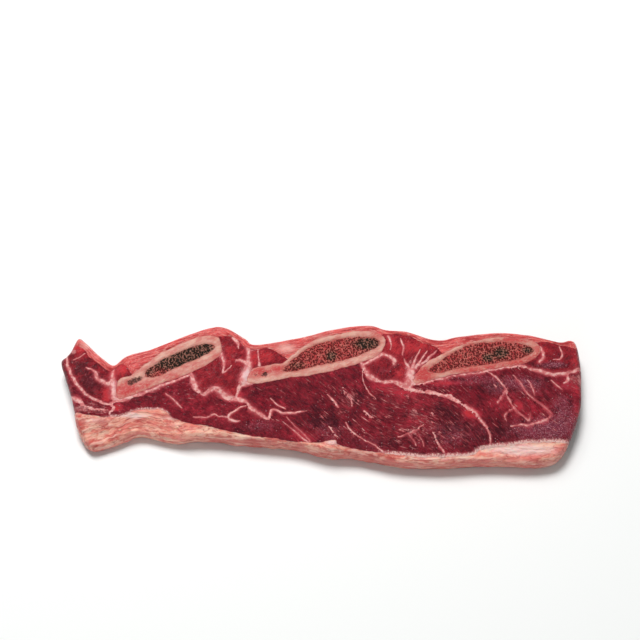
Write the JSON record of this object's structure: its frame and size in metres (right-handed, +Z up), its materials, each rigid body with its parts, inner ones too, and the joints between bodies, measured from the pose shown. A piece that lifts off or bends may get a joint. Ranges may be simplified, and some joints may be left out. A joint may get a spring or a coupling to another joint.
{
  "type": "cross-cut beef short rib slice",
  "caption": "Slice of raw beef short ribs sawn across the rib bones: oval bone rings with spongy cores, red muscle, rib lining and a fat cap.",
  "frame": {"origin": "on the flat lower cut, below the middle of the slice's plan", "axes": "+X along the row of ribs, towards the end where the bones are nearest the edge; +Y from the fat cap towards the rib lining; +Z up, through the thickness"},
  "size_m": [0.2138, 0.063, 0.0106],
  "materials": {
    "lean_muscle": "moist, satin",
    "rib_muscle": "moist, satin",
    "bone": "sawn, moist",
    "marrow": "matt, porous",
    "lining": "moist, satin",
    "fat": "waxy, satin"
  },
  "bodies": {
    "root": {"lean_muscle": "lean_muscle", "rib_muscle_left_end": "rib_muscle", "rib_muscle_left": "rib_muscle", "rib_muscle_right": "rib_muscle", "rib_muscle_right_end": "rib_muscle", "bone_left": "bone", "bone_middle": "bone", "bone_right": "bone", "marrow_left": "marrow", "marrow_middle": "marrow", "marrow_right": "marrow", "rib_lining": "lining", "fat_cap": "fat"}
  },
  "joints": []
}
